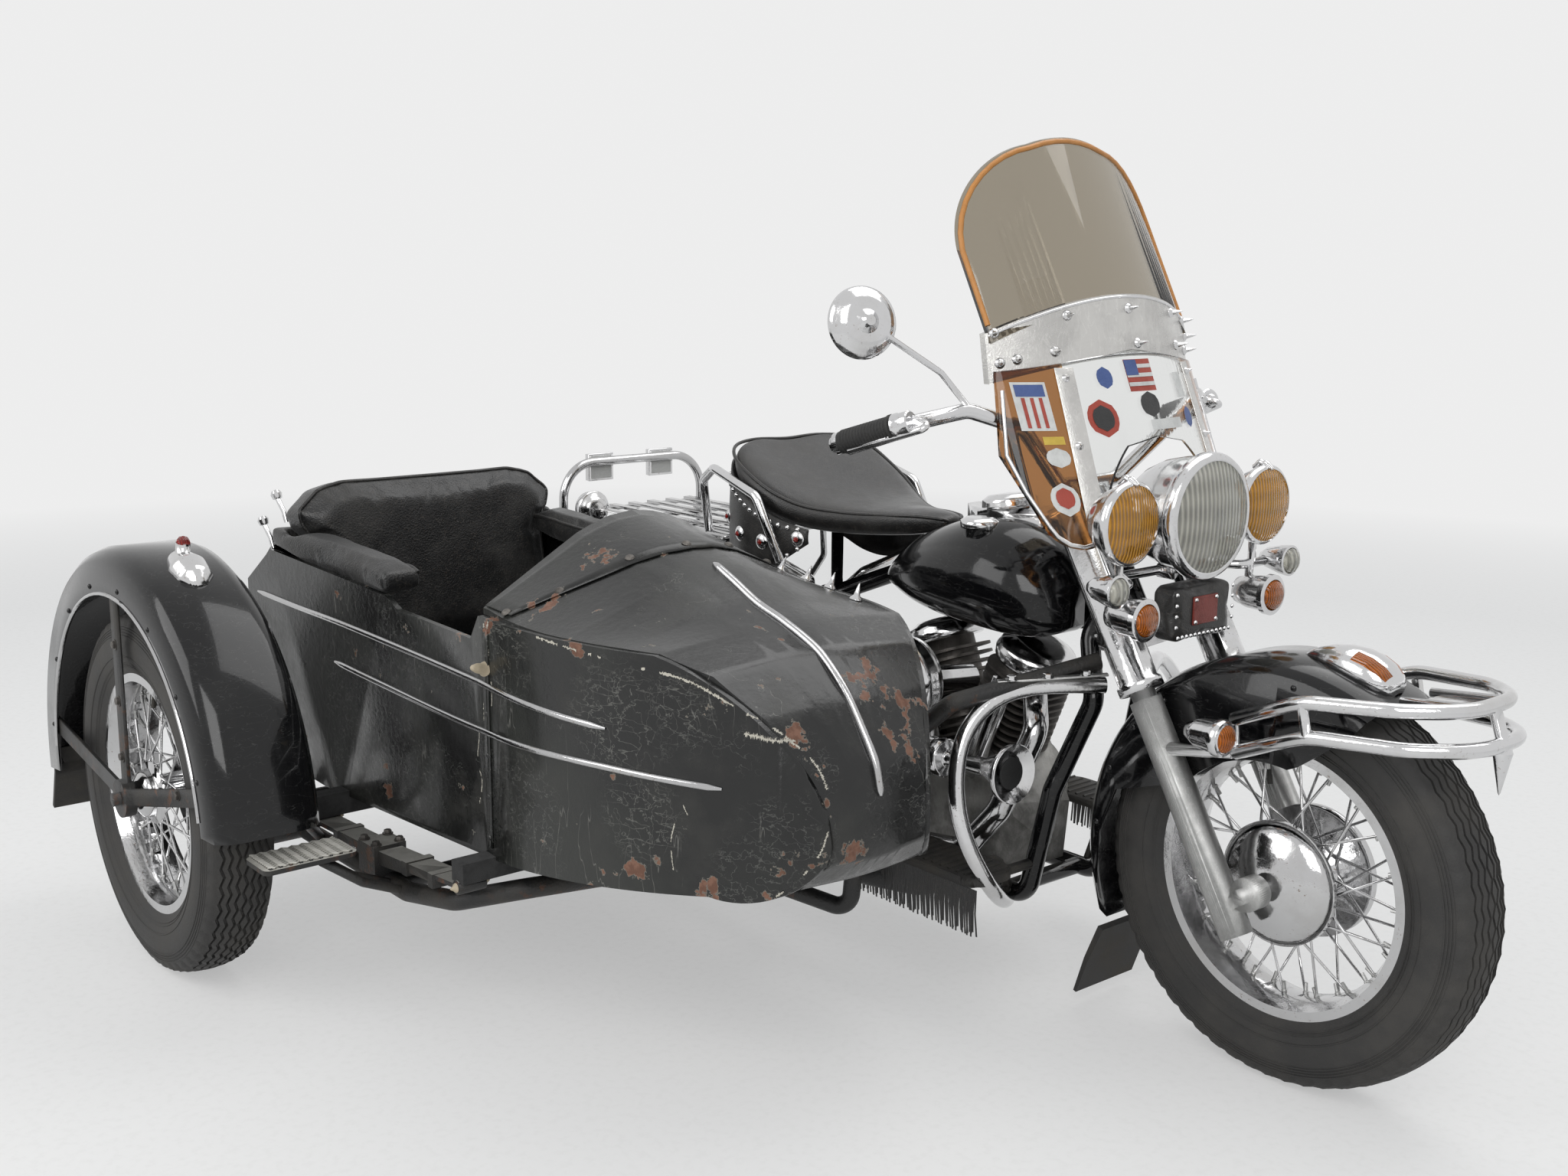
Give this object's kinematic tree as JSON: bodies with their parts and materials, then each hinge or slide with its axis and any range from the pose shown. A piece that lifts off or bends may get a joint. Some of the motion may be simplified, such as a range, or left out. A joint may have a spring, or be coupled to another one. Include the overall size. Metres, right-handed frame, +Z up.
{
  "type": "sidecar motorcycle",
  "caption": "Vintage motorcycle with a raked fork, tall windshield and spoked wheels, joined to a boat-shaped passenger sidecar on its right.",
  "frame": {"origin": "on the floor under the middle of the whole machine", "axes": "+X forward, +Y to the rider's left, +Z up; the sidecar is on the right, at -Y"},
  "size_m": [2.306, 1.73, 1.461],
  "materials": {
    "black_paint": "gloss black",
    "worn_black_paint": "worn black paint with rust",
    "chrome": "polished",
    "satin_aluminium": "satin",
    "band_metal": "brushed",
    "tyre": "matt",
    "black_rubber": "matt",
    "black_leather": "worn",
    "smoked_pane": "smoked clear",
    "tinted_wing": "brown tint",
    "amber_lens": "fluted",
    "red_lens": "fluted"
  },
  "bodies": {
    "chassis": {"bike_frame": "black_paint", "engine_case": "satin_aluminium", "primary_cover": "black_paint", "cylinders": "satin_aluminium", "rocker_gear": "chrome", "air_cleaner": "chrome", "exhaust": "chrome", "horn": "chrome", "fuel_tanks": "black_paint", "tank_fittings": "chrome", "saddle": "black_leather", "saddle_skirt": "black_leather", "grab_rails": "chrome", "rear_fender": "black_paint", "luggage_rack": "chrome", "rear_lamps": "red_lens", "floorboards": "black_rubber", "crash_bars": "chrome", "final_chain": "black_paint", "sidecar_frame": "black_paint", "wheel_bracket": "worn_black_paint", "sidecar_fender": "worn_black_paint", "sidecar_fender_lamp": "chrome", "sidecar_mudflap": "black_rubber", "leaf_springs": "black_paint", "body_side_right": "worn_black_paint", "body_side_left": "worn_black_paint", "body_cowl": "worn_black_paint", "body_tail": "worn_black_paint", "body_floor": "worn_black_paint", "seat_cushion": "black_leather", "seat_back": "black_leather", "armrests": "black_leather", "step_plate": "worn_black_paint"},
    "steering": {"fork_legs": "satin_aluminium", "fork_covers": "chrome", "handlebar": "chrome", "headlight": "chrome", "spot_lamps": "amber_lens", "small_lamps": "amber_lens", "pouch": "black_leather", "windshield_band": "band_metal", "windshield_pane": "smoked_pane", "windshield_wings": "tinted_wing", "front_fender": "black_paint", "front_mudflap": "black_rubber", "front_fender_lamp": "chrome", "bumper": "chrome"},
    "front_wheel": {"front_wheel": "chrome", "front_tyre": "tyre"},
    "rear_wheel": {"rear_wheel": "chrome", "rear_tyre": "tyre"},
    "sidecar_wheel": {"sidecar_wheel": "chrome", "sidecar_tyre": "tyre"}
  },
  "joints": [
    {"name": "steering_turn", "type": "hinge", "parent": "chassis", "child": "steering", "pos_m": [0.45795, 0.445, 0.74149], "axis": [-0.506, 0, 0.8625], "range_deg": [-30, 30]},
    {"name": "front_wheel_spin", "type": "hinge", "parent": "steering", "child": "front_wheel", "pos_m": [0.831, 0.445, 0.325], "axis": [0, 1, 0], "continuous": true},
    {"name": "rear_wheel_spin", "type": "hinge", "parent": "chassis", "child": "rear_wheel", "pos_m": [-0.68, 0.445, 0.325], "axis": [0, 1, 0], "continuous": true},
    {"name": "sidecar_wheel_spin", "type": "hinge", "parent": "chassis", "child": "sidecar_wheel", "pos_m": [-0.68, -0.748, 0.325], "axis": [0, 1, 0], "continuous": true}
  ]
}
